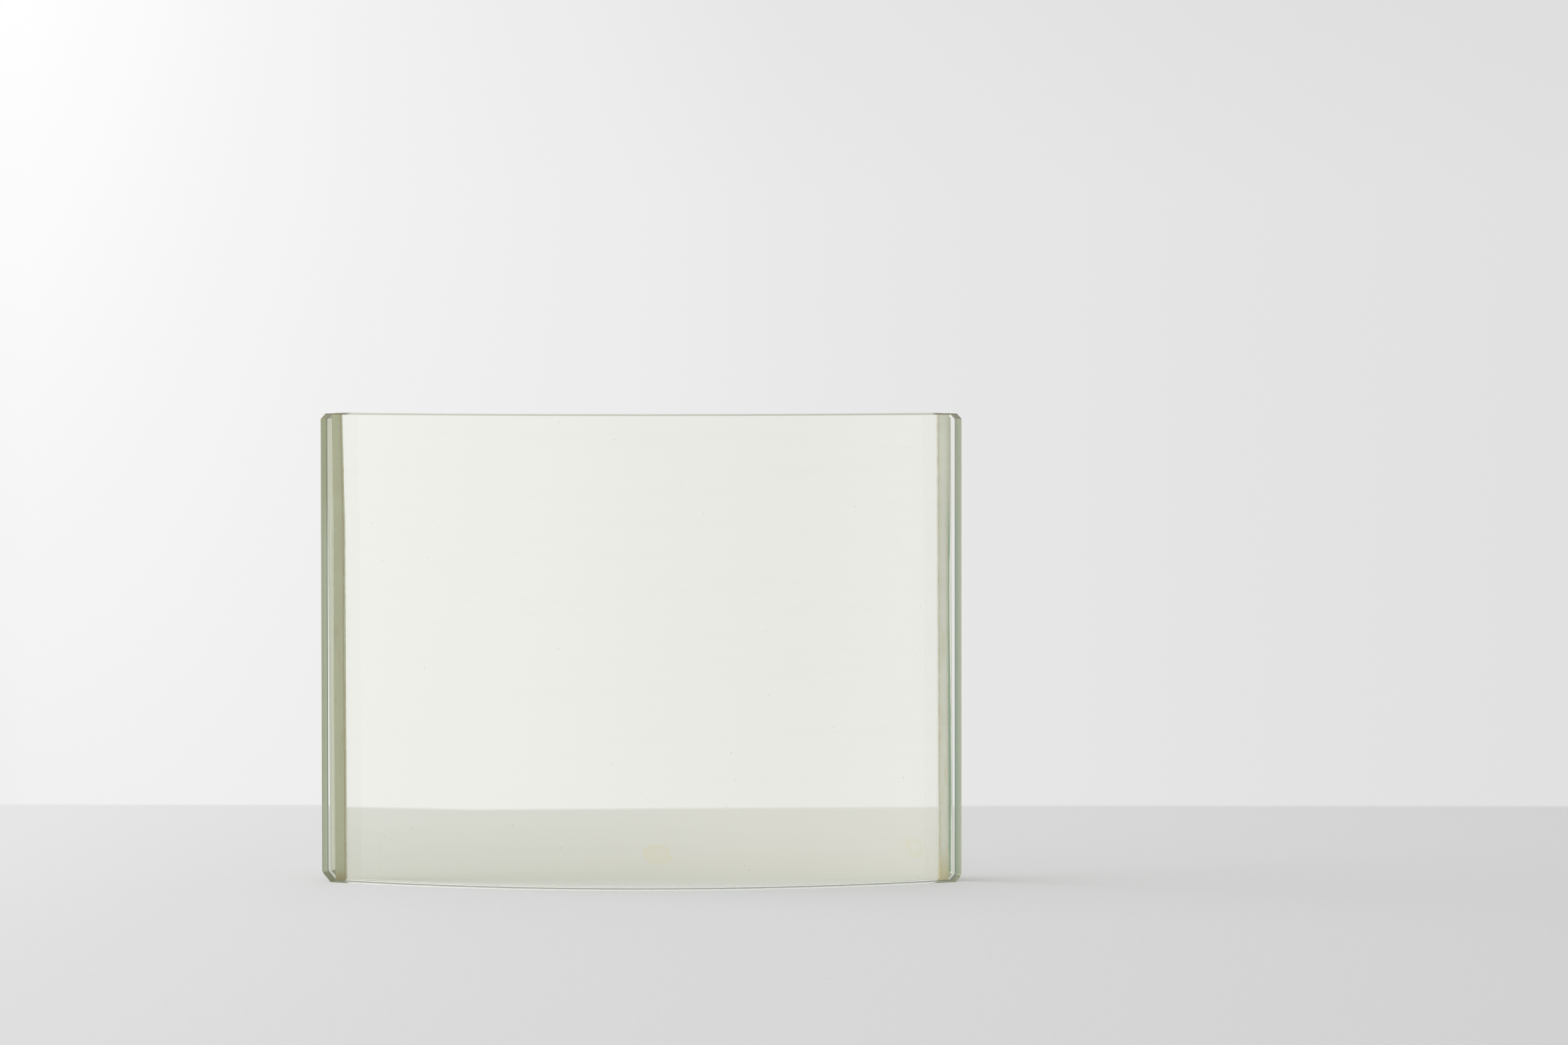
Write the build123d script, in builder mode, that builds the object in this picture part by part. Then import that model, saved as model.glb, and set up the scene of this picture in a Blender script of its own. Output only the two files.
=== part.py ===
"""Curved glass photo frame: two sheets of glass bent to one centre, held a slot apart for a print.

The frame stands on the lower edges of its sheets. +Z is up and the bulging side faces -Y.
The origin lies on the table, at the middle of the frame's width and depth. Sizes are in millimetres.
"""

import os
from math import asin, cos, degrees, radians, sin

from build123d import *

os.makedirs("parts", exist_ok=True)

# Glass sheets
overall_width = 260.0
sheet_height = 190.0
front_radius = 300.0
glass_thickness = 8.0
print_gap = 2.0
arris = 0.4

# Corners, ground off square through the thickness; the lower ones are larger and run softly into the end
top_corner_clip = 2.2
left_foot_clip = 4.0
right_foot_clip = 2.6
foot_blend_radius = 2.0

# Adhesive strips; a setback is measured along the bend, from the sheets' ends to the strip's outer edge
left_strip_width = 4.4
right_strip_width = 3.6
strip_end_clearance = 0.8
strip_head_radius = 0.8
strip_foot_radius = 1.6
left_strip_head_setback = 2.8
left_strip_foot_setback = 3.7
right_strip_head_setback = 4.1
right_strip_foot_setback = 3.4

# Clear film in the lower left corner of the front sheet
film_width = 14.4
film_height = 15.7
film_thickness = 0.1
film_corner_radius = 1.5
film_setback = 13.0
film_foot_height = 3.2

# What is stuck to the glass clears it by a hair, so that no two solids overlap
bond_clearance = 0.02

# How far a cutting form runs past what it cuts
overrun = 1.0

# Radii of the faces, from the front face inwards
slot_front_radius = front_radius - glass_thickness
slot_rear_radius = slot_front_radius - print_gap
rear_radius = slot_rear_radius - glass_thickness

# The ends of both sheets lie on one radial line; the widest point is where the front arris meets the end
half_angle = degrees(asin(overall_width / 2 / (front_radius - arris)))
slot_end_arc = radians(half_angle) * slot_front_radius
front_end_arc = radians(half_angle) * front_radius

# The rearmost point is where the rear arris meets the rear face
overall_depth = front_radius - rear_radius * cos(radians(half_angle) - arris / rear_radius)
arc_centre_y = front_radius - overall_depth / 2
facing_viewer = -90


def ring_sector(inner_radius, outer_radius):
    """Plan of a bent sheet between two radii, as wide as the frame."""
    with BuildSketch() as plan:
        with BuildLine():
            first_ray = facing_viewer - half_angle
            outer = CenterArc((0, arc_centre_y), outer_radius, first_ray, 2 * half_angle)
            inner = CenterArc((0, arc_centre_y), inner_radius, first_ray, 2 * half_angle)
            Line(outer @ 0, inner @ 0)
            Line(outer @ 1, inner @ 1)
        make_face()
    return plan.sketch


def tangent_plane(radius, arc_from_middle, height):
    """Plane that touches a cylinder of the bend and looks outwards; its Y runs up the frame."""
    turn = arc_from_middle / radius
    return Plane(
        origin=(radius * sin(turn), arc_centre_y - radius * cos(turn), height),
        x_dir=(cos(turn), sin(turn), 0),
        z_dir=(sin(turn), -cos(turn), 0),
    )


def corner_edges(sheet):
    """Edges that run straight through the sheet's thickness."""
    return sheet.edges().filter_by(GeomType.LINE).filter_by(Axis.Z, reverse=True)


def glass_sheet(label, outer_radius):
    """Bent sheet with clipped corners and an arris along every edge of its two large faces."""
    with BuildPart() as sheet:
        extrude(ring_sector(outer_radius - glass_thickness, outer_radius), amount=sheet_height)
        chamfer(corner_edges(sheet).group_by(Axis.Z)[-1], length=top_corner_clip)
        chamfer(corner_edges(sheet).group_by(Axis.Z)[0].sort_by(Axis.X)[0], length=left_foot_clip)
        chamfer(corner_edges(sheet).group_by(Axis.Z)[0].sort_by(Axis.X)[-1], length=right_foot_clip)
        lower_half = corner_edges(sheet).filter_by_position(Axis.Z, 0, sheet_height / 2)
        fillet(lower_half.sort_by(Axis.Z)[-2:], radius=foot_blend_radius)
        large_faces = sheet.faces().sort_by(SortBy.AREA)[-2:]
        chamfer(large_faces.edges(), length=arris)
    sheet.part.label = label
    return sheet.part


def adhesive_strip(label, side, strip_width, head_setback, foot_setback):
    """Strip that fills the slot from sheet to sheet; side is -1 on the left end and 1 on the right."""
    strip_height = sheet_height - 2 * strip_end_clearance
    lean = degrees(asin(side * (head_setback - foot_setback) / strip_height))
    middle_arc = slot_end_arc - (head_setback + foot_setback) / 2 - strip_width / 2
    slot_face = tangent_plane(slot_front_radius, side * middle_arc, sheet_height / 2)
    inner_radius = slot_rear_radius + bond_clearance
    outer_radius = slot_front_radius - bond_clearance
    with BuildPart() as strip:
        with BuildSketch(slot_face.offset(overrun)) as outline:
            Rectangle(strip_width, strip_height, rotation=lean)
            fillet(outline.vertices().sort_by(Axis.Y)[-2:], radius=strip_head_radius)
            fillet(outline.vertices().sort_by(Axis.Y)[:2], radius=strip_foot_radius)
        extrude(amount=-(print_gap + 2 * overrun))
        extrude(ring_sector(inner_radius, outer_radius), amount=sheet_height, mode=Mode.INTERSECT)
    strip.part.label = label
    return strip.part


def corner_film(label):
    """Thin film with rounded corners, wrapped on the front face."""
    middle_arc = front_end_arc - film_setback - film_width / 2
    middle = tangent_plane(front_radius, -middle_arc, film_foot_height + film_height / 2)
    with BuildPart() as film:
        with BuildSketch(middle):
            RectangleRounded(film_width, film_height, film_corner_radius)
        extrude(amount=overrun, both=True)
        inner_radius = front_radius + bond_clearance
        outer_radius = inner_radius + film_thickness
        extrude(ring_sector(inner_radius, outer_radius), amount=sheet_height, mode=Mode.INTERSECT)
    film.part.label = label
    return film.part


left_strip = (left_strip_width, left_strip_head_setback, left_strip_foot_setback)
right_strip = (right_strip_width, right_strip_head_setback, right_strip_foot_setback)

pieces = [
    glass_sheet("front_pane", front_radius),
    glass_sheet("rear_pane", slot_rear_radius),
    adhesive_strip("left_spacer_strip", -1, *left_strip),
    adhesive_strip("right_spacer_strip", 1, *right_strip),
    corner_film("corner_film"),
]

for piece in pieces:
    export_step(piece, f"parts/{piece.label}.step")
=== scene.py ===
from functools import partial
from math import asin, cos, pi, radians, sin, tan

import bmesh
import bpy
from mathutils import Matrix, Vector, noise


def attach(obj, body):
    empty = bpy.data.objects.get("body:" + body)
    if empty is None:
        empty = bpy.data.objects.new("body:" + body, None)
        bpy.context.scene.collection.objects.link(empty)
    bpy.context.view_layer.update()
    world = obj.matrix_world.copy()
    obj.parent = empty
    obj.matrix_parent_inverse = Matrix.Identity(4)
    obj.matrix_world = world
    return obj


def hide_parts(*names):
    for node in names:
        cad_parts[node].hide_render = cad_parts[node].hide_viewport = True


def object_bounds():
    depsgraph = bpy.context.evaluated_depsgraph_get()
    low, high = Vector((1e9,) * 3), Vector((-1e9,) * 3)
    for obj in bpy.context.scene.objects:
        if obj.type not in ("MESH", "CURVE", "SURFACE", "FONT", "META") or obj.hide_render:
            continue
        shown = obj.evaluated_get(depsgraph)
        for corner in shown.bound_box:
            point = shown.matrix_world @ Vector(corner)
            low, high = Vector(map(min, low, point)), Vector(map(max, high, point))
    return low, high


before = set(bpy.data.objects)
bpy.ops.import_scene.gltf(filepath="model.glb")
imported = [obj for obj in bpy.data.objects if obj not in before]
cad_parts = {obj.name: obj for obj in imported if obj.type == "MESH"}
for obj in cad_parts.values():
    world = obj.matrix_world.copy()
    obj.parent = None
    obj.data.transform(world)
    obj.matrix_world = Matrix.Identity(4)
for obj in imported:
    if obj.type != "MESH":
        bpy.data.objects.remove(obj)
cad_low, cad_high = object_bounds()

MM = 0.001
X_AXIS = 0
Z_AXIS = 2

# The bent sheets, as in the frame's construction
overall_width = 260 * MM
sheet_height = 190 * MM
front_radius = 300 * MM
glass_thickness = 8 * MM
print_gap = 2 * MM
arris = 0.4 * MM
top_corner_clip = 2.2 * MM
left_foot_clip = 4.0 * MM
right_foot_clip = 2.6 * MM
foot_blend_radius = 2.0 * MM
foot_blend_steps = 8
sheet_column = 1.6 * MM
slot_front_radius = front_radius - glass_thickness
slot_rear_radius = slot_front_radius - print_gap
half_turn = asin(overall_width / 2 / (front_radius - arris))
arc_centre_y = cad_low.y + front_radius

# The rear sheet sits a little left of the front one: its foot by a share of rear_askew, its head by more
rear_askew = 1.1 * MM
foot_shift_share = 0.2

# The right ends are ground a little off the radial line, inwards towards the rear
right_end_slant = 0.35 * MM

# The left ends lean: their feet lie a little further in, and their heads further out
left_end_lean = 0.7 * MM
upright_share = 0.65

# The adhesive strips; a setback runs along the bend, from the sheets' ends to the strip's outer edge
left_strip_width = 4.2 * MM
left_head_setback = 2.8 * MM
left_foot_setback = 4.05 * MM
right_strip_width = 3.9 * MM
right_head_setback = 4.1 * MM
right_foot_setback = 3.4 * MM
strip_head_clearance = 0.25 * MM
strip_foot_clearance = 0.3 * MM
strip_head_radius = 0.5 * MM
strip_head_steps = 4
strip_foot_radius = 1.0 * MM
strip_foot_steps = 6
strip_row = 0.4 * MM
strip_column = 0.8 * MM
wetting = 0.02 * MM

# Near the head the strips' inner and outer edges bend outwards
head_lean_height = 45 * MM
left_head_leans = (1.0 * MM, 0.5 * MM)
right_head_leans = (0, 0.9 * MM)

# The strips' edges are a little wavy, each in its own way, with two finer waves laid over the first
ripple_height = 0.06 * MM
ripple_length = 3.0 * MM
ripple_strip_offset = 40
ripple_across = 7
ripple_finer = (3.1, 7.3)

# The clear film
film_width = 14.4 * MM
film_height = 15.7 * MM
film_thickness = 0.1 * MM
film_corner_radius = 1.5 * MM
film_corner_steps = 8
film_setback = 13.0 * MM
film_foot_height = 3.9 * MM
film_column = 1.2 * MM
film_sink = 0.01 * MM
film_edge_tone = "#fcfcf8"
film_edge_share = 0.6
film_roughness = 0.12
film_gloss_index = 1.25

# The camera stands level, a little above the frame and to its right
camera_distance = 1738 * MM
camera_height = 226 * MM
camera_offset = 57.9 * MM
lens_mm = 100
sensor_mm = 36
picture_width_px = 2352
picture_height_px = 1568
horizon_px = 487.4

# The table's far edge is as far behind the frame as in the picture, turned a little, bowed and soft
table_behind = 315 * MM
table_before = 3000 * MM
table_half_width = 3000 * MM
table_turn = -0.6
edge_bow = 14 * MM
bow_left_end = -165 * MM
bow_peak = -85 * MM
bow_right_end = 125 * MM
edge_softness = 10 * MM

# Far from the frame the table fades into the room
fade_start = 500 * MM
fade_end = 1200 * MM

# Beyond this share of the frame's width, counted from its middle, a strip backs the glass
strip_start_share = 0.454
strip_full_share = 0.46

# Marks on the faces of each mesh; the glass reads them all, the strips and the film only their cut sides
ground_marks = ("ground_end", "ground_rim", "slot_arris", "ground_foot", "sawn_head")
cut_side = "ground_rim"
large_facing = 0.97
end_facing = 0.15

# Glass: a very little yellow-green on its faces, and greener the longer the way through it
glass_index = 1.52
clear_tint = (1, 1, 0.976, 1)
depth_tint = (0.94, 0.985, 0.93, 1)
depth_density = 10.0
ground_roughness = 0.5
ground_patch = 60 * MM
frosted_share = 0.85

# Tones of the ground edges; an end's tones run from the sheet's front face inwards, by depth share.
# They are painted light: each end, seam and foot gets the tone of the light that it passes and mirrors,
# so the ends differ left and right, the seams and the front foot are painted shade, the rear foot painted
# light
front_tones = {
    "left": {
        "end": ((0.0, "#a6ac8f"), (1.0, "#b6bea4")), "end_top": "#a3a885",
        "seam": "#8a9a86", "seam_top": "#7f8668",
    },
    "right": {
        "end": ((0.0, "#c5ccb0"), (1.0, "#a9bca5")), "end_top": "#b9c2a8",
        "seam": "#7b9882", "seam_top": "#959a86",
    },
    "foot": "#a8aaa0",
}
rear_tones = {
    "left": {
        "end": ((0.0, "#eef2e4"), (0.3, "#cbcebb"), (0.55, "#e0e3cd"), (1.0, "#c0c4ab")),
        "end_top": "#d9dcc9", "seam": "#c4c9ba", "seam_top": "#b4b8a0",
    },
    "right": {
        "end": ((0.0, "#e8ece0"), (0.33, "#f6f9ef"), (0.38, "#769872"), (1.0, "#769872")),
        "end_top": "#b8bba6", "seam": "#c8ccc2", "seam_top": "#b9bdaa",
    },
    "foot": "#fdfef8",
}
# Painted reflection: beside a strip, the foot and the head are painted with the strip that they mirror
foot_mirroring_strip = "#8c8f6c"
head_tone = "#e2e4d8"
head_mirroring_strip = "#918c72"

# What a ray of shadow or of scattered light loses at a clear face and at a ground one
clear_shade = "#fafafa"
ground_shade = "#dadcd4"

# Traces of use on the front sheet; a drop leans in degrees, and its middle fades the lower its fullness
dried_drops = (
    {"centre": (7.6 * MM, 0, 14.1 * MM), "half_width": 6.4 * MM, "half_height": 3.9 * MM,
     "lean": -4, "fullness": 0.5},
    {"centre": (110.4 * MM, 0, 14.7 * MM), "half_width": 3.6 * MM, "half_height": 4.8 * MM,
     "lean": 22, "fullness": 0.25},
)
drop_raggedness = 4 * MM
drop_tint = (1.0, 0.95, 0.72, 1)
speck_spacing = 6.5 * MM
speck_tone = "#8b8b7c"
wipe_length = 70 * MM
wipe_width = 5 * MM
haze_tone = "#f4f5f0"
most_haze = 0.02

# The aged adhesive of the two strips; the right strip's body tone is painted lighter than the left's,
# as painted light for the light that reaches it from the left through the glass
left_tape_tones = {"body": "#e0e2c9", "rim": "#c0ae84", "amber": "#c8be92"}
left_amber_height = 5 * MM
left_clearness = 0.05
right_tape_tones = {"body": "#fafcf2", "rim": "#c4b48e", "amber": "#ece4bc"}
right_amber_height = 14 * MM
right_clearness = 0.2
adhesive_index = 1.47
adhesive_roughness = 0.5
adhesive_glow = 0.6
brown_patch = 6 * MM
cloud_size = 25 * MM
vein_width = 3 * MM
vein_length = 18 * MM

# The paper on the table, beside the frame and as seen through it; through the glass it carries a painted
# shadow, warm and darker at the left
paper_tone = "#e2e2e2"
painted_shadow_left = "#d0d0c8"
painted_shadow_right = "#dbdad2"
fibre_size = 2.5 * MM

# Tones of the room round the frame, by the angle in degrees to the right of straight behind it
room_tones = (
    (-180, "#e6e6e6"), (-147, "#f0f0f0"), (-117, "#fafafa"), (-95, "#a8a8a0"), (-60, "#a8a8a0"),
    (-25, "#ffffff"), (-10, "#ffffff"), (-8, "#f9f9f9"), (-6, "#f3f3f3"), (0, "#e9e9e9"),
    (5, "#e4e4e4"), (10, "#e1e1e1"), (25, "#e0e0e0"), (60, "#a8a8a0"), (95, "#a8a8a0"),
    (124, "#ffffff"), (136, "#ffffff"), (154, "#ececec"), (180, "#e6e6e6"),
)

# Straight behind the frame the wall darkens towards its lower left and a little towards its upper right
low_left_fall = 4.2
upper_right_fall = 0.035

# The plain light that the room gives
room_light = 0.45

# Lamps: name, place, target and width of the square in metres, and power in watts
lamps = (
    ("window_left", (-2.35, 0.04, 1.8), (0, 0, 0.1), 1.9, 53),
    ("room_front_left", (-2.1, -1.7, 1.9), (-0.3, -0.2, 0), 1.6, 7),
    ("soft_top", (0.2, 0.2, 2.6), (0, 0, 0.05), 1.8, 11),
)


def flat_blank(width, height, corners):
    """Upright face with its lower edge at zero height, and its corners cut or rounded."""
    bm = bmesh.new()
    bmesh.ops.create_grid(bm, x_segments=1, y_segments=1, size=0.5)
    stand_up = Matrix.Rotation(radians(90), 4, "X")
    place = Matrix.Translation((0, 0, height / 2)) @ stand_up @ Matrix.Diagonal((width, height, 1, 1))
    bmesh.ops.transform(bm, matrix=place, verts=bm.verts)
    for side, level, size, steps in corners:
        bm.verts.ensure_lookup_table()
        corner = max(bm.verts, key=lambda v: side * v.co.x + level * v.co.z)
        bmesh.ops.bevel(
            bm, geom=[corner], affect="VERTICES", offset=size, offset_type="OFFSET",
            segments=steps, profile=0.5, material=-1,
        )
    return bm


def thicken(bm, front, rear):
    """Closes a flat blank into a plate from one depth to another."""
    for vert in bm.verts:
        vert.co.y = front
    made = bmesh.ops.extrude_face_region(bm, geom=bm.faces[:])
    moved = [item for item in made["geom"] if isinstance(item, bmesh.types.BMVert)]
    bmesh.ops.translate(bm, vec=(0, rear - front, 0), verts=moved)
    bmesh.ops.recalc_face_normals(bm, faces=bm.faces)


def grind_edges(bm, size):
    """Bevels the outlines of the plate's two large faces."""
    large = [face for face in bm.faces if abs(face.normal.y) > 0.99]
    outline = {edge for face in large for edge in face.edges}
    bmesh.ops.bevel(
        bm, geom=list(outline), affect="EDGES", offset=size, offset_type="OFFSET",
        segments=1, profile=0.5, material=-1,
    )


def slice_across(bm, axis, spacing):
    """Cuts the plate into narrow columns or rows, so that it can bend or ripple."""
    low = min(vert.co[axis] for vert in bm.verts)
    high = max(vert.co[axis] for vert in bm.verts)
    normal = [0, 0, 0]
    normal[axis] = 1
    count = round((high - low) / spacing)
    for i in range(1, count):
        point = [0, 0, 0]
        point[axis] = low + (high - low) * i / count
        geometry = bm.verts[:] + bm.edges[:] + bm.faces[:]
        bmesh.ops.bisect_plane(bm, geom=geometry, plane_co=point, plane_no=normal, dist=1e-7)


def bend(bm, radius, arc_offset=0):
    """Wraps the flat plate round the axis of the bend; its X runs along the arc and its Y inwards."""
    for vert in bm.verts:
        turn = (vert.co.x + arc_offset) / radius
        r = radius - vert.co.y
        vert.co.x = r * sin(turn)
        vert.co.y = arc_centre_y - r * cos(turn)


def mark_ground_faces(bm):
    """Marks the ground ends and rims, the sawn head and foot, and the upright arrises along the slot.

    A face's facing is 1 on the two large faces and 0 on the ends, the head and the foot.
    """
    layers = {mark: bm.faces.layers.float.new(mark) for mark in ground_marks}
    for face in bm.faces:
        radial = face.calc_center_median() - Vector((0, arc_centre_y, 0))
        radial.z = 0
        up = face.normal.z
        facing = abs(face.normal.dot(radial.normalized()))
        bevelled = end_facing < facing < large_facing
        beside_slot = slot_rear_radius - arris < radial.length < slot_front_radius + arris
        marked = {
            "ground_end": facing < end_facing and abs(up) < 0.9,
            "ground_rim": facing < large_facing,
            "slot_arris": bevelled and beside_slot and abs(up) < 0.6,
            "ground_foot": up < -0.5,
            "sawn_head": up > 0.5,
        }
        for mark, layer in layers.items():
            face[layer] = 1.0 if marked[mark] else 0.0


def finish_piece(bm, name, material, node):
    """Turns the mesh into a named piece that rides on the frame and stands for its node."""
    bmesh.ops.recalc_face_normals(bm, faces=bm.faces)
    mesh = bpy.data.meshes.new(name)
    mark_ground_faces(bm)
    bm.to_mesh(mesh)
    bm.free()
    mesh.shade_smooth()
    mesh.set_sharp_from_angle(angle=radians(20))
    mesh.materials.append(material)
    piece = bpy.data.objects.new(name, mesh)
    bpy.context.scene.collection.objects.link(piece)
    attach(piece, "root")
    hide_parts(node)


def glass_sheet(name, outer_radius, head_shift, material, node):
    """One sheet: a blank with ground corners and edges, bent to its radius."""
    width = 2 * half_turn * outer_radius

    # A clip meets its end at 45 degrees, so that the blend starts this far from where they meet
    blend = foot_blend_radius * tan(radians(45) / 2)
    corners = [
        (-1, 1, top_corner_clip, 1),
        (1, 1, top_corner_clip, 1),
        (-1, -1, left_foot_clip, 1),
        (1, -1, right_foot_clip, 1),
    ]
    bm = flat_blank(width, sheet_height, corners)
    for side, clip in ((-1, left_foot_clip), (1, right_foot_clip)):
        start = Vector((side * width / 2, 0, clip))
        corner = min(bm.verts, key=lambda v: (v.co - start).length)
        bmesh.ops.bevel(
            bm, geom=[corner], affect="VERTICES", offset=blend, offset_type="OFFSET",
            segments=foot_blend_steps, profile=0.5, material=-1,
        )
    thicken(bm, 0, glass_thickness)
    grind_edges(bm, arris)
    slice_across(bm, X_AXIS, sheet_column)
    for vert in bm.verts:
        outward = 2 * vert.co.x / width
        vert.co.x -= right_end_slant * max(0, outward) * vert.co.y / glass_thickness
        vert.co.x += left_end_lean * max(0, -outward) * (upright_share - vert.co.z / sheet_height)
        vert.co.x -= head_shift * (vert.co.z / sheet_height + foot_shift_share)
    bend(bm, outer_radius)
    finish_piece(bm, name, material, node)


def adhesive_strip(name, side, width, head_setback, foot_setback, head_leans, material, node):
    """One strip: fills the slot between the sheets and wets both of them.

    The head leans say how far the inner and the outer edge bend outwards near the head.
    """
    strip_height = sheet_height - strip_head_clearance - strip_foot_clearance
    inner_lean, outer_lean = head_leans
    corners = [
        (-1, 1, strip_head_radius, strip_head_steps),
        (1, 1, strip_head_radius, strip_head_steps),
        (-1, -1, strip_foot_radius, strip_foot_steps),
        (1, -1, strip_foot_radius, strip_foot_steps),
    ]
    bm = flat_blank(width, strip_height, corners)
    slice_across(bm, Z_AXIS, strip_row)
    lean = (foot_setback - head_setback) / strip_height
    for vert in bm.verts:
        across = side * ripple_strip_offset + ripple_across * vert.co.x / width
        place = Vector((across, 0, vert.co.z / ripple_length))
        waves = noise.noise(place) + sum(noise.noise(place * finer) for finer in ripple_finer)
        near_head = max(0, 1 - (strip_height - vert.co.z) / head_lean_height)
        bent = (outer_lean if side * vert.co.x > 0 else inner_lean) * near_head
        vert.co.x += side * (lean * (vert.co.z - strip_height / 2) + bent) + waves * ripple_height
        vert.co.z += strip_foot_clearance
    slice_across(bm, X_AXIS, strip_column)
    thicken(bm, -wetting, print_gap + wetting)
    end_arc = half_turn * slot_front_radius
    middle = end_arc - (head_setback + foot_setback) / 2 - width / 2
    bend(bm, slot_front_radius, side * middle)
    finish_piece(bm, name, material, node)


def corner_film(name, material, node):
    """The small clear film, wrapped on the front face."""
    corners = [
        (side, level, film_corner_radius, film_corner_steps) for side in (-1, 1) for level in (-1, 1)
    ]
    bm = flat_blank(film_width, film_height, corners)
    thicken(bm, -film_thickness, film_sink)
    slice_across(bm, X_AXIS, film_column)
    bmesh.ops.translate(bm, vec=(0, 0, film_foot_height), verts=bm.verts)
    middle = half_turn * front_radius - film_setback - film_width / 2
    bend(bm, front_radius, -middle)
    finish_piece(bm, name, material, node)


def linear(hex_colour):
    """sRGB hex to linear RGBA."""
    parts = [int(hex_colour[i:i + 2], 16) / 255 for i in (1, 3, 5)]
    return tuple(c / 12.92 if c <= 0.04045 else ((c + 0.055) / 1.055) ** 2.4 for c in parts) + (1,)


def add_node(tree, kind, inputs=None, stops=(), **properties):
    """Adds a node, sets its properties, and sets or links its inputs.

    An input is a value, a socket, or a node, which stands for the first output that it shows.
    Stops are for a ramp, in rising order, as pairs of place and sRGB hex.
    """
    node = tree.nodes.new(kind)
    for key, value in properties.items():
        setattr(node, key, value)
    for key, value in (inputs or {}).items():
        if isinstance(value, bpy.types.Node):
            value = next(socket for socket in value.outputs if socket.enabled)
        if isinstance(value, bpy.types.NodeSocket):
            tree.links.new(value, node.inputs[key])
        else:
            node.inputs[key].default_value = value
    for i, (place, tone) in enumerate(stops):
        marks = node.color_ramp.elements
        if i == len(marks):
            marks.new(place)
        marks[i].position = place
        marks[i].color = linear(tone)
    return node


def new_material(name):
    """Empty material, and the function that adds nodes to it."""
    material = bpy.data.materials.new(name)
    material.use_nodes = True
    material.node_tree.nodes.clear()
    return material, partial(add_node, material.node_tree)


def place_on_bend(add):
    """Object coordinates, their axes, and the distance from the axis of the bend."""
    place = add("ShaderNodeTexCoord").outputs["Object"]
    axes = add("ShaderNodeSeparateXYZ", {0: place}).outputs
    flat = add("ShaderNodeVectorMath", {0: place, 1: (1, 1, 0)}, operation="MULTIPLY")
    radius = add("ShaderNodeVectorMath", {0: flat, 1: (0, arc_centre_y, 0)}, operation="DISTANCE")
    return place, axes, radius


def dried_drop(add, place, centre, half_width, half_height, lean, fullness):
    """Mask of a dried drop: a ragged outline with a darker rim and a fainter middle."""
    moved = add("ShaderNodeVectorMath", {0: place, 1: centre}, operation="SUBTRACT")
    turned = add(
        "ShaderNodeVectorRotate", {"Vector": moved, "Angle": radians(lean)}, rotation_type="Y_AXIS")
    scaled = add("ShaderNodeVectorMath", {
        0: turned, 1: (1 / half_width, 0, 1 / half_height)}, operation="MULTIPLY")
    reach = add("ShaderNodeVectorMath", {0: scaled}, operation="LENGTH")
    ragged = add("ShaderNodeTexNoise", {"Vector": place, "Scale": 1 / drop_raggedness, "Detail": 4.0})
    outline = add("ShaderNodeMath", {0: ragged, 1: 0.9, 2: reach}, operation="MULTIPLY_ADD")
    inside = add("ShaderNodeMapRange", {
        "Value": outline, "From Min": 1.4, "From Max": 1.32, "To Min": 0.0, "To Max": 1.0})
    edge = add("ShaderNodeMapRange", {
        "Value": outline, "From Min": 0.95, "From Max": 1.38, "To Min": fullness, "To Max": 1.0})
    return add("ShaderNodeMath", {0: inside, 1: edge}, operation="MULTIPLY")


def stained_tint(add, place, outer_face):
    """The glass's own tint, turned a weak amber by the dried drops."""
    masks = [dried_drop(add, place, **drop) for drop in dried_drops]
    drops = add("ShaderNodeMath", dict(enumerate(masks)), operation="MAXIMUM")
    drops = add("ShaderNodeMath", {0: drops, 1: outer_face}, operation="MULTIPLY")
    return add("ShaderNodeMix", {"Factor": drops, "A": clear_tint, "B": drop_tint}, data_type="RGBA")


def dust_and_haze(add, place, outer_face, surface):
    """Lays a few dark dust specks and the faint streaks of wiping over the surface."""
    cells = add("ShaderNodeTexVoronoi", {"Vector": place, "Scale": 1 / speck_spacing})
    grain = add("ShaderNodeMapRange", {
        "Value": cells, "From Min": 0.03, "From Max": 0.018, "To Min": 0.0, "To Max": 0.5})
    specks = add("ShaderNodeMath", {0: grain, 1: outer_face}, operation="MULTIPLY")
    dust = add("ShaderNodeBsdfDiffuse", {"Color": linear(speck_tone)})
    dusty = add("ShaderNodeMixShader", {0: specks, 1: surface, 2: dust})

    wiped = add("ShaderNodeVectorMath", {
        0: place, 1: (1 / wipe_length, 1 / wipe_length, 1 / wipe_width)}, operation="MULTIPLY")
    streaks = add("ShaderNodeTexNoise", {"Vector": wiped, "Scale": 1.0, "Detail": 3.0})
    haze = add("ShaderNodeMapRange", {
        "Value": streaks, "From Min": 0.5, "From Max": 0.75, "To Min": 0.0, "To Max": most_haze})
    haze = add("ShaderNodeMath", {0: haze, 1: outer_face}, operation="MULTIPLY")
    veil = add("ShaderNodeBsdfDiffuse", {"Color": linear(haze_tone)})
    return add("ShaderNodeMixShader", {0: haze, 1: dusty, 2: veil})


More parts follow.
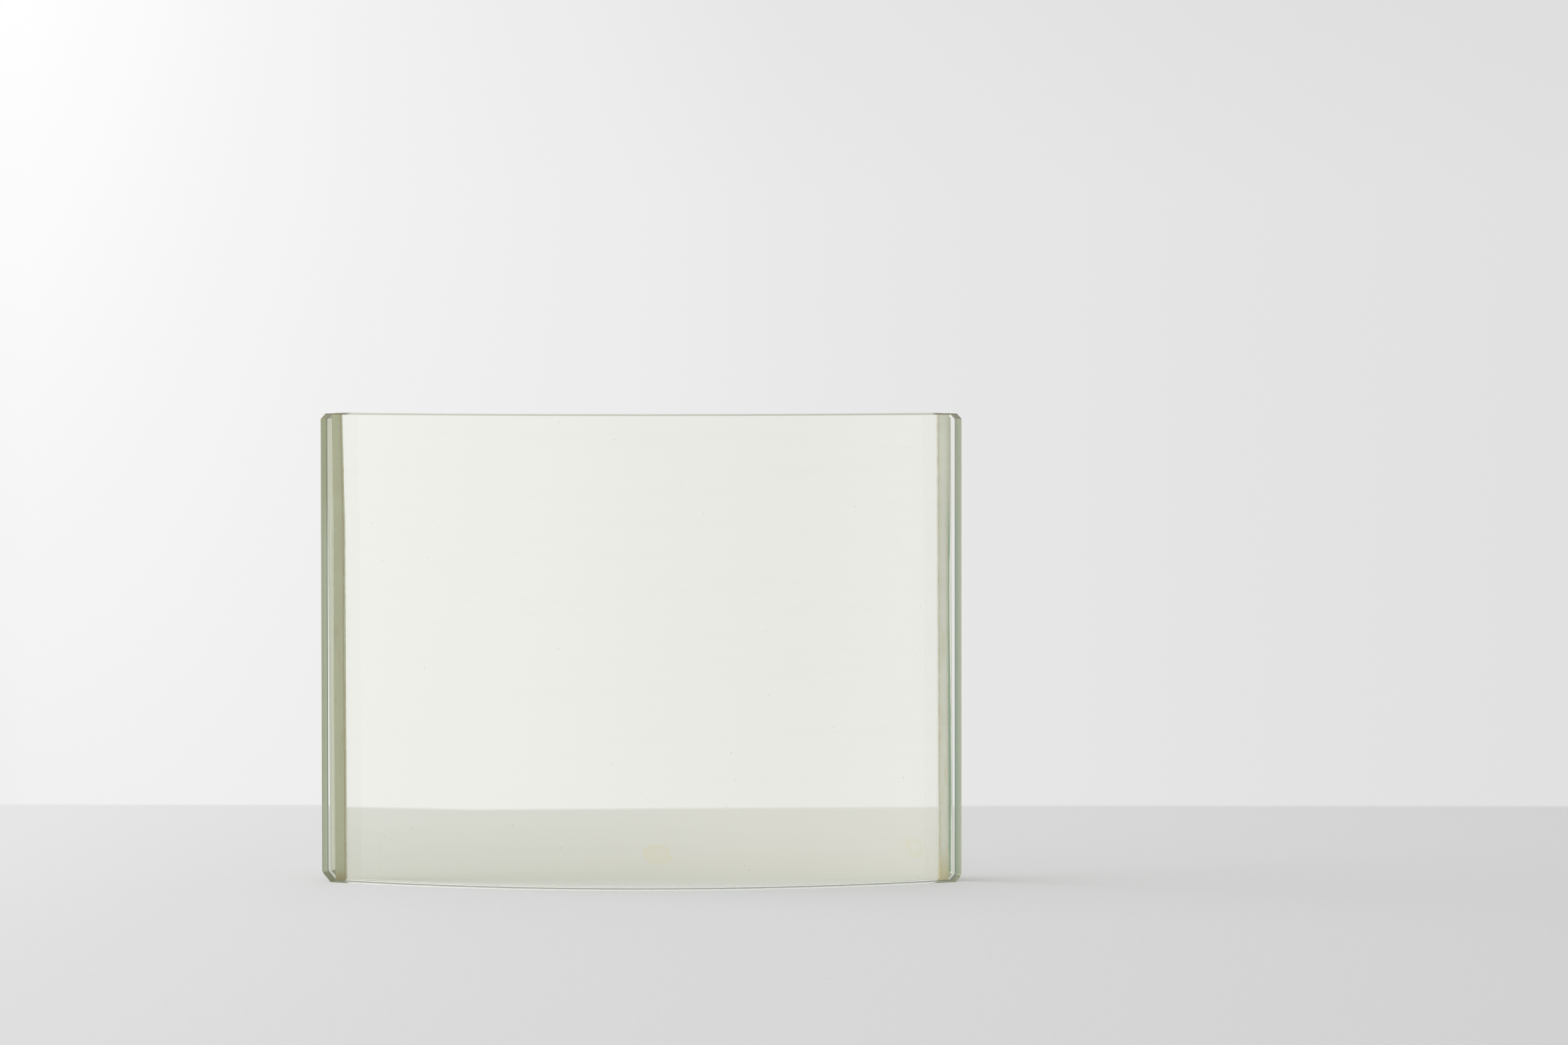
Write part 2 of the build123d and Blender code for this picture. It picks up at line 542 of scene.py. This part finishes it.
def ground_tone(add, outer_radius, tones, ground, place, axes, radius, beside_strip):
    """Colour of the ground and sawn edges, by side, height and depth, in painted light: painted shade on
    the seams, and the strip painted in as a reflection beside it.
    """
    right = add("ShaderNodeMapRange", {
        "Value": axes["X"], "From Min": -0.3 * overall_width, "From Max": 0.3 * overall_width})
    high = add("ShaderNodeMapRange", {
        "Value": axes["Z"], "From Min": 0.72 * sheet_height, "From Max": 0.86 * sheet_height})
    depth = add("ShaderNodeMapRange", {
        "Value": radius, "From Min": outer_radius, "From Max": outer_radius - glass_thickness})

    # Where the wheel ground a little deeper, the tones drift in depth
    patches = add("ShaderNodeTexNoise", {
        "Vector": place, "Scale": 1 / ground_patch, "Detail": 4.0, "Roughness": 0.6})
    drift = add("ShaderNodeMapRange", {
        "Value": patches, "From Min": 0.3, "From Max": 0.7, "To Min": -0.12, "To Max": 0.12})
    drifted = add("ShaderNodeMath", {0: depth, 1: drift}, operation="ADD", use_clamp=True)

    sides = []
    for side in ("left", "right"):
        own = tones[side]
        by_depth = add("ShaderNodeValToRGB", {0: drifted}, stops=own["end"])
        end = add("ShaderNodeMix", {
            "Factor": high, "A": by_depth, "B": linear(own["end_top"])}, data_type="RGBA")
        seam = add("ShaderNodeMix", {
            "Factor": high, "A": linear(own["seam"]), "B": linear(own["seam_top"])}, data_type="RGBA")
        sides.append(add("ShaderNodeMix", {
            "Factor": ground["slot_arris"], "A": end, "B": seam}, data_type="RGBA"))
    tone = add("ShaderNodeMix", {"Factor": right, "A": sides[0], "B": sides[1]}, data_type="RGBA")

    # Painted reflection: where a strip lies beside the foot or the head, the strip's tone is painted into
    # it
    for mark, open_tone, mirrored_strip_tone in (
        ("ground_foot", tones["foot"], foot_mirroring_strip),
        ("sawn_head", head_tone, head_mirroring_strip),
    ):
        sawn = add("ShaderNodeMix", {
            "Factor": beside_strip, "A": linear(open_tone), "B": linear(mirrored_strip_tone),
        }, data_type="RGBA")
        tone = add("ShaderNodeMix", {"Factor": ground[mark], "A": tone, "B": sawn}, data_type="RGBA")
    return tone


def frosted_faces(add, outer_radius, ground, radius, beside_strip):
    """Mask of the matt faces: ends, slot arrises and head, and the foot's inner arris and strip places."""
    inner_arris = add("ShaderNodeMath", {
        0: radius, 1: outer_radius - glass_thickness + 1.1 * arris}, operation="LESS_THAN")
    foot = add("ShaderNodeMath", {0: inner_arris, 1: beside_strip}, operation="MAXIMUM")
    foot = add("ShaderNodeMath", {0: foot, 1: ground["ground_foot"]}, operation="MULTIPLY")
    mask = ground["ground_end"]
    for more in (ground["slot_arris"], foot, ground["sawn_head"]):
        mask = add("ShaderNodeMath", {0: mask, 1: more}, operation="MAXIMUM")
    return mask


def float_glass(name, outer_radius, tones, handled):
    """Float glass, bent in a kiln, with ground edges.

    Its fire-polished faces are clear and mirror the room, with a faint green in the depth. The ground
    ends and the sawn head scatter the light and look satin, in tones of painted light, and the arrises
    along the slot draw grey lines of painted shade. The foot is matt at its inner arris, where it draws a
    dark line of painted shade, and dull where a strip backs it, with the strip painted in as a reflection;
    the head beside a strip has it painted in too. The sheet that is handled has traces of use.
    """
    material, add = new_material(name)
    ground = {
        mark: add("ShaderNodeAttribute", attribute_name=mark).outputs["Fac"] for mark in ground_marks
    }
    place, axes, radius = place_on_bend(add)
    aside = add("ShaderNodeMath", {0: axes["X"]}, operation="ABSOLUTE")
    beside_strip = add("ShaderNodeMapRange", {
        "Value": aside, "From Min": strip_start_share * overall_width,
        "From Max": strip_full_share * overall_width,
    })
    outer_face = add("ShaderNodeMath", {
        0: radius, 1: outer_radius - 0.1 * arris}, operation="GREATER_THAN")

    rough = add("ShaderNodeMath", {0: ground["ground_rim"], 1: ground_roughness}, operation="MULTIPLY")
    tint = stained_tint(add, place, outer_face) if handled else clear_tint
    clear = add("ShaderNodeBsdfPrincipled", {
        "Base Color": tint, "Roughness": rough, "IOR": glass_index, "Transmission Weight": 1.0})

    tone = ground_tone(add, outer_radius, tones, ground, place, axes, radius, beside_strip)
    lit = add("ShaderNodeBsdfDiffuse", {"Color": tone})
    through = add("ShaderNodeBsdfTranslucent", {"Color": tone})
    frosted = add("ShaderNodeMixShader", {0: 0.5, 1: lit, 2: through})
    mask = frosted_faces(add, outer_radius, ground, radius, beside_strip)
    share = add("ShaderNodeMath", {0: mask, 1: frosted_share}, operation="MULTIPLY")
    surface = add("ShaderNodeMixShader", {0: share, 1: clear, 2: frosted})
    if handled:
        surface = dust_and_haze(add, place, outer_face, surface)

    # Light for the table and the strips passes straight through, and loses more at ground faces
    shade = add("ShaderNodeMix", {
        "Factor": mask, "A": linear(clear_shade), "B": linear(ground_shade)}, data_type="RGBA")
    passed = add("ShaderNodeBsdfTransparent", {"Color": shade})
    path = add("ShaderNodeLightPath").outputs
    passing = add("ShaderNodeMath", {
        0: path["Is Shadow Ray"], 1: path["Is Diffuse Ray"]}, operation="MAXIMUM")
    mix = add("ShaderNodeMixShader", {0: passing, 1: surface, 2: passed})
    green = add("ShaderNodeVolumeAbsorption", {"Color": depth_tint, "Density": depth_density})
    add("ShaderNodeOutputMaterial", {"Surface": mix, "Volume": green})
    return material


def adhesive(name, tones, amber_height, clearness):
    """Aged acrylic adhesive, cut to a strip: milky and half clear, so that it glows softly.

    It has amber veins and an amber foot, and along its cut sides it is browned in ragged patches.
    """
    material, add = new_material(name)
    cut = add("ShaderNodeAttribute", attribute_name=cut_side).outputs["Fac"]
    place, axes, radius = place_on_bend(add)
    depth = add("ShaderNodeMapRange", {
        "Value": radius, "From Min": slot_front_radius, "From Max": slot_rear_radius})

    patches = add("ShaderNodeTexNoise", {
        "Vector": place, "Scale": 1 / brown_patch, "Detail": 5.0, "Roughness": 0.65})
    ragged = add("ShaderNodeMath", {0: patches, 1: 0.9, 2: -0.32}, operation="MULTIPLY_ADD")
    inward = add("ShaderNodeMath", {0: depth, 1: ragged}, operation="SUBTRACT")
    browned = add("ShaderNodeMapRange", {
        "Value": inward, "From Min": 0.0, "From Max": 0.45, "To Min": 1.0, "To Max": 0.0})
    rim = add("ShaderNodeMath", {0: cut, 1: browned}, operation="MULTIPLY")

    clouds = add("ShaderNodeTexNoise", {"Vector": place, "Scale": 1 / cloud_size, "Detail": 3.0})
    cloudy = add("ShaderNodeMapRange", {
        "Value": clouds, "From Min": 0.35, "From Max": 0.7, "To Min": 0.94, "To Max": 1.0})
    body = add("ShaderNodeVectorMath", {
        0: linear(tones["body"])[:3], 1: cloudy}, operation="MULTIPLY")
    colour = add("ShaderNodeMix", {
        "Factor": rim, "A": body, "B": linear(tones["rim"])}, data_type="RGBA")

    drawn_out = add("ShaderNodeVectorMath", {
        0: place, 1: (1 / vein_width, 1 / vein_width, 1 / vein_length)}, operation="MULTIPLY")
    veins = add("ShaderNodeTexNoise", {"Vector": drawn_out, "Scale": 1.0, "Detail": 3.0})
    patchy = add("ShaderNodeMapRange", {
        "Value": veins, "From Min": 0.58, "From Max": 0.74, "To Min": 0.0, "To Max": 0.6})
    low = add("ShaderNodeMapRange", {
        "Value": axes["Z"], "From Min": 0.2 * amber_height, "From Max": amber_height,
        "To Min": 0.8, "To Max": 0.0,
    })
    amber = add("ShaderNodeMath", {0: patchy, 1: low}, operation="MAXIMUM")
    colour = add("ShaderNodeMix", {
        "Factor": amber, "A": colour, "B": linear(tones["amber"])}, data_type="RGBA")

    gummy = add("ShaderNodeBsdfPrincipled", {
        "Base Color": colour, "Roughness": adhesive_roughness, "IOR": adhesive_index})
    through = add("ShaderNodeBsdfTranslucent", {"Color": colour})
    milky = add("ShaderNodeMixShader", {0: adhesive_glow, 1: gummy, 2: through})
    thin = add("ShaderNodeMapRange", {
        "Value": inward, "From Min": 0.1, "From Max": 0.9, "To Min": clearness, "To Max": 0.9})
    window = add("ShaderNodeMix", {"Factor": cut, "A": clearness, "B": thin}, data_type="FLOAT")
    clear = add("ShaderNodeBsdfTransparent")
    mix = add("ShaderNodeMixShader", {0: window, 1: milky, 2: clear})
    add("ShaderNodeOutputMaterial", {"Surface": mix})
    return material


def clear_film(name):
    """Clear polyester film, die cut: hardly seen but for a soft gloss and its pale cut edge."""
    material, add = new_material(name)
    edge = add("ShaderNodeAttribute", attribute_name=cut_side).outputs["Fac"]
    cut = add("ShaderNodeMath", {0: edge, 1: film_edge_share}, operation="MULTIPLY")
    clear = add("ShaderNodeBsdfTransparent")
    pale = add("ShaderNodeBsdfDiffuse", {"Color": linear(film_edge_tone)})
    film_body = add("ShaderNodeMixShader", {0: cut, 1: clear, 2: pale})
    gloss = add("ShaderNodeBsdfGlossy", {"Roughness": film_roughness})
    fresnel = add("ShaderNodeFresnel", {"IOR": film_gloss_index})
    inner = add("ShaderNodeNewGeometry").outputs["Backfacing"]
    outer = add("ShaderNodeMath", {0: 1.0, 1: inner}, operation="SUBTRACT")
    share = add("ShaderNodeMath", {0: outer, 1: fresnel}, operation="MULTIPLY")
    mix = add("ShaderNodeMixShader", {0: share, 1: film_body, 2: gloss})
    add("ShaderNodeOutputMaterial", {"Surface": mix})
    return material


def beyond_edge(add, axes):
    """Mask of what lies past the table's far edge, which is slanted, bowed and soft."""
    slant = add("ShaderNodeMath", {
        0: axes["X"], 1: -tan(radians(table_turn)), 2: axes["Y"]}, operation="MULTIPLY_ADD")
    rising = add("ShaderNodeMapRange", {
        "Value": axes["X"], "From Min": bow_left_end, "From Max": bow_peak, "To Max": edge_bow})
    falling = add("ShaderNodeMapRange", {
        "Value": axes["X"], "From Min": bow_right_end, "From Max": bow_peak, "To Max": edge_bow})
    bow = add("ShaderNodeMath", {0: rising, 1: falling}, operation="MINIMUM")
    bowed = add("ShaderNodeMath", {0: slant, 1: bow}, operation="ADD")
    far_edge = cad_low.y + table_behind
    return add("ShaderNodeMapRange", {
        "Value": bowed, "From Min": far_edge - edge_softness, "From Max": far_edge})


def uncoated_paper(name):
    """Uncoated paper, pressed flat in the making: pale, without shine, and mottled by its fibres.

    The fibres are drawn coarser than real ones, so that they show. Its colour carries painted light and
    shadow.
    """
    material, add = new_material(name)
    place = add("ShaderNodeTexCoord").outputs["Object"]
    axes = add("ShaderNodeSeparateXYZ", {0: place}).outputs
    path = add("ShaderNodeLightPath").outputs

    # Painted shadow: seen through the glass the paper is painted darker and warmer, most of all close
    # behind the frame and at the left
    behind = add("ShaderNodeMapRange", {
        "Value": axes["Y"], "From Min": cad_low.y + 2 * glass_thickness,
        "From Max": cad_low.y + 5 * glass_thickness,
    })
    near = add("ShaderNodeMapRange", {
        "Value": axes["Y"], "From Min": 0.2 * overall_width, "From Max": table_behind,
        "To Min": 1.0, "To Max": 0.55,
    })
    patch = add("ShaderNodeMath", {0: behind, 1: near}, operation="MULTIPLY")
    patch = add("ShaderNodeMath", {0: patch, 1: path["Is Transmission Ray"]}, operation="MULTIPLY")
    rightward = add("ShaderNodeMapRange", {
        "Value": axes["X"], "From Min": -0.4 * overall_width, "From Max": 0.2 * overall_width})
    painted_shadow = add("ShaderNodeMix", {
        "Factor": rightward, "A": linear(painted_shadow_left), "B": linear(painted_shadow_right)}, data_type="RGBA")
    tone = add("ShaderNodeMix", {
        "Factor": patch, "A": linear(paper_tone), "B": painted_shadow}, data_type="RGBA")

    # Painted light: the paper is painted a little lighter at the back and at the left, and it is mottled
    # all over
    fibres = add("ShaderNodeTexNoise", {"Vector": place, "Scale": 1 / fibre_size, "Detail": 2.0})
    mottle = add("ShaderNodeMapRange", {
        "Value": fibres, "From Min": 0.3, "From Max": 0.7, "To Min": 0.975, "To Max": 1.0})
    farther = add("ShaderNodeMapRange", {
        "Value": axes["Y"], "From Min": -150 * MM, "From Max": 250 * MM,
        "To Min": 0.99, "To Max": 1.015,
    })
    leftward = add("ShaderNodeMapRange", {
        "Value": axes["X"], "From Min": -350 * MM, "From Max": -50 * MM,
        "To Min": 1.025, "To Max": 0.995,
    })
    painted_light_and_mottle = add("ShaderNodeMath", {0: farther, 1: leftward}, operation="MULTIPLY")
    painted_light_and_mottle = add("ShaderNodeMath", {0: painted_light_and_mottle, 1: mottle}, operation="MULTIPLY")
    tone = add("ShaderNodeVectorMath", {0: tone, 1: painted_light_and_mottle}, operation="MULTIPLY")
    paper = add("ShaderNodeBsdfDiffuse", {"Color": tone})

    # It ends at the far edge and far from the frame, and the glass's faces do not mirror it
    away = add("ShaderNodeVectorMath", {0: place}, operation="LENGTH")
    fade = add("ShaderNodeMapRange", {
        "Value": away, "From Min": fade_start, "From Max": fade_end, "To Min": 0.0, "To Max": 1.0})
    mirrored = add("ShaderNodeMath", {0: path["Glossy Depth"], 1: 0.5}, operation="GREATER_THAN")
    gone = add("ShaderNodeMath", {0: fade, 1: beyond_edge(add, axes)}, operation="MAXIMUM")
    gone = add("ShaderNodeMath", {0: gone, 1: mirrored}, operation="MAXIMUM")
    nothing = add("ShaderNodeBsdfTransparent")
    mix = add("ShaderNodeMixShader", {0: gone, 1: paper, 2: nothing})
    add("ShaderNodeOutputMaterial", {"Surface": mix})
    return material


def pale_table(material):
    """The table's top, turned a little, with its far edge behind the frame."""
    bm = bmesh.new()
    bmesh.ops.create_grid(bm, x_segments=1, y_segments=1, size=0.5)
    depth = table_behind + table_before
    far_edge = Matrix.Translation((0, cad_low.y + table_behind, 0))
    turned = far_edge @ Matrix.Rotation(radians(table_turn), 4, "Z")
    sized = Matrix.Translation((0, -depth / 2, 0)) @ Matrix.Diagonal((2 * table_half_width, depth, 1, 1))
    bmesh.ops.transform(bm, matrix=turned @ sized, verts=bm.verts)
    mesh = bpy.data.meshes.new("table")
    bm.to_mesh(mesh)
    bm.free()
    mesh.materials.append(material)
    table = bpy.data.objects.new("table", mesh)
    bpy.context.scene.collection.objects.link(table)


def wall_level(add, axes):
    """How bright the wall is, as a share of the room's own tone: less than 1 only straight behind.

    The ranges are parts of the unit vector along which the wall is seen.
    """
    leftward = add("ShaderNodeMath", {0: axes["X"], 1: 0.0}, operation="MINIMUM")
    far_left = add("ShaderNodeMath", {0: leftward, 1: leftward}, operation="MULTIPLY")
    below = add("ShaderNodeMapRange", {
        "Value": axes["Z"], "From Min": -0.107, "From Max": 0.07,
        "To Min": low_left_fall, "To Max": 0.0,
    })
    low_left = add("ShaderNodeMath", {0: far_left, 1: below}, operation="MULTIPLY")
    above = add("ShaderNodeMapRange", {
        "Value": axes["Z"], "From Min": 0.03, "From Max": 0.09,
        "To Min": 0.0, "To Max": upper_right_fall,
    })
    rightward = add("ShaderNodeMapRange", {"Value": axes["X"], "From Min": -0.15, "From Max": 0.0})
    upper_right = add("ShaderNodeMath", {0: above, 1: rightward}, operation="MULTIPLY")
    fall = add("ShaderNodeMath", {0: low_left, 1: upper_right}, operation="ADD")
    behind = add("ShaderNodeMapRange", {"Value": axes["Y"], "From Min": 0.9, "From Max": 0.96})
    fall = add("ShaderNodeMath", {0: fall, 1: behind}, operation="MULTIPLY")
    return add("ShaderNodeMath", {0: 1.0, 1: fall}, operation="SUBTRACT")


def backdrop():
    """The pale room: what the camera and the glass see of it, and the plain light that it gives."""
    world = bpy.data.worlds.new("pale_room")
    bpy.context.scene.world = world
    world.use_nodes = True
    world.node_tree.nodes.clear()
    add = partial(add_node, world.node_tree)
    direction = add("ShaderNodeTexCoord").outputs["Generated"]
    axes = add("ShaderNodeSeparateXYZ", {0: direction}).outputs
    azimuth = add("ShaderNodeMath", {0: axes["X"], 1: axes["Y"]}, operation="ARCTAN2")
    turn = add("ShaderNodeMapRange", {
        "Value": azimuth, "From Min": -pi, "From Max": pi, "To Min": 0.0, "To Max": 1.0})
    tones = add("ShaderNodeValToRGB", {0: turn}, stops=[
        (0.5 + degrees / 360, tone) for degrees, tone in room_tones])
    seen = add("ShaderNodeBackground", {"Color": tones, "Strength": wall_level(add, axes)})
    lit = add("ShaderNodeBackground", {"Color": (1, 1, 1, 1), "Strength": room_light})
    path = add("ShaderNodeLightPath").outputs
    direct = add("ShaderNodeMath", {
        0: path["Is Camera Ray"], 1: path["Is Glossy Ray"]}, operation="MAXIMUM")
    direct = add("ShaderNodeMath", {
        0: direct, 1: path["Is Transmission Ray"]}, operation="MAXIMUM")
    mix = add("ShaderNodeMixShader", {0: direct, 1: lit, 2: seen})
    add("ShaderNodeOutputWorld", {"Surface": mix})


def area_lamp(name, place, target, size, watts):
    """Square lamp that shines at its target and isn't seen by the camera."""
    lamp = bpy.data.lights.new(name, "AREA")
    lamp.shape = "SQUARE"
    lamp.size = size
    lamp.energy = watts
    holder = bpy.data.objects.new(name, lamp)
    bpy.context.scene.collection.objects.link(holder)
    holder.location = place
    aim = Vector(target) - Vector(place)
    holder.rotation_euler = aim.to_track_quat("-Z", "Y").to_euler()
    holder.visible_camera = False


def camera():
    """Level camera, shifted so that the horizon lies where the picture has it."""
    data = bpy.data.cameras.new("camera")
    data.lens = lens_mm
    data.sensor_width = sensor_mm
    data.shift_y = -(picture_height_px / 2 - horizon_px) / picture_width_px
    data.dof.use_dof = False
    holder = bpy.data.objects.new("camera", data)
    bpy.context.scene.collection.objects.link(holder)
    holder.location = (camera_offset, cad_low.y - camera_distance, camera_height)
    holder.rotation_euler = (radians(90), 0, 0)
    bpy.context.scene.camera = holder


front_glass = float_glass("bent_float_glass_front", front_radius, front_tones, handled=True)
rear_glass = float_glass("bent_float_glass_rear", slot_rear_radius, rear_tones, handled=False)
left_tape = adhesive("cut_adhesive_left", left_tape_tones, left_amber_height, left_clearness)
right_tape = adhesive("cut_adhesive_right", right_tape_tones, right_amber_height, right_clearness)
film = clear_film("die_cut_polyester_film")
paper = uncoated_paper("uncoated_paper")

left_place = (-1, left_strip_width, left_head_setback, left_foot_setback, left_head_leans)
right_place = (1, right_strip_width, right_head_setback, right_foot_setback, right_head_leans)
glass_sheet("front_sheet", front_radius, 0, front_glass, "front_pane")
glass_sheet("rear_sheet", slot_rear_radius, rear_askew, rear_glass, "rear_pane")
adhesive_strip("left_adhesive", *left_place, left_tape, "left_spacer_strip")
adhesive_strip("right_adhesive", *right_place, right_tape, "right_spacer_strip")
corner_film("bare_film", film, "corner_film")

pale_table(paper)
backdrop()
for lamp_values in lamps:
    area_lamp(*lamp_values)
camera()
bpy.context.scene.view_settings.view_transform = "Standard"
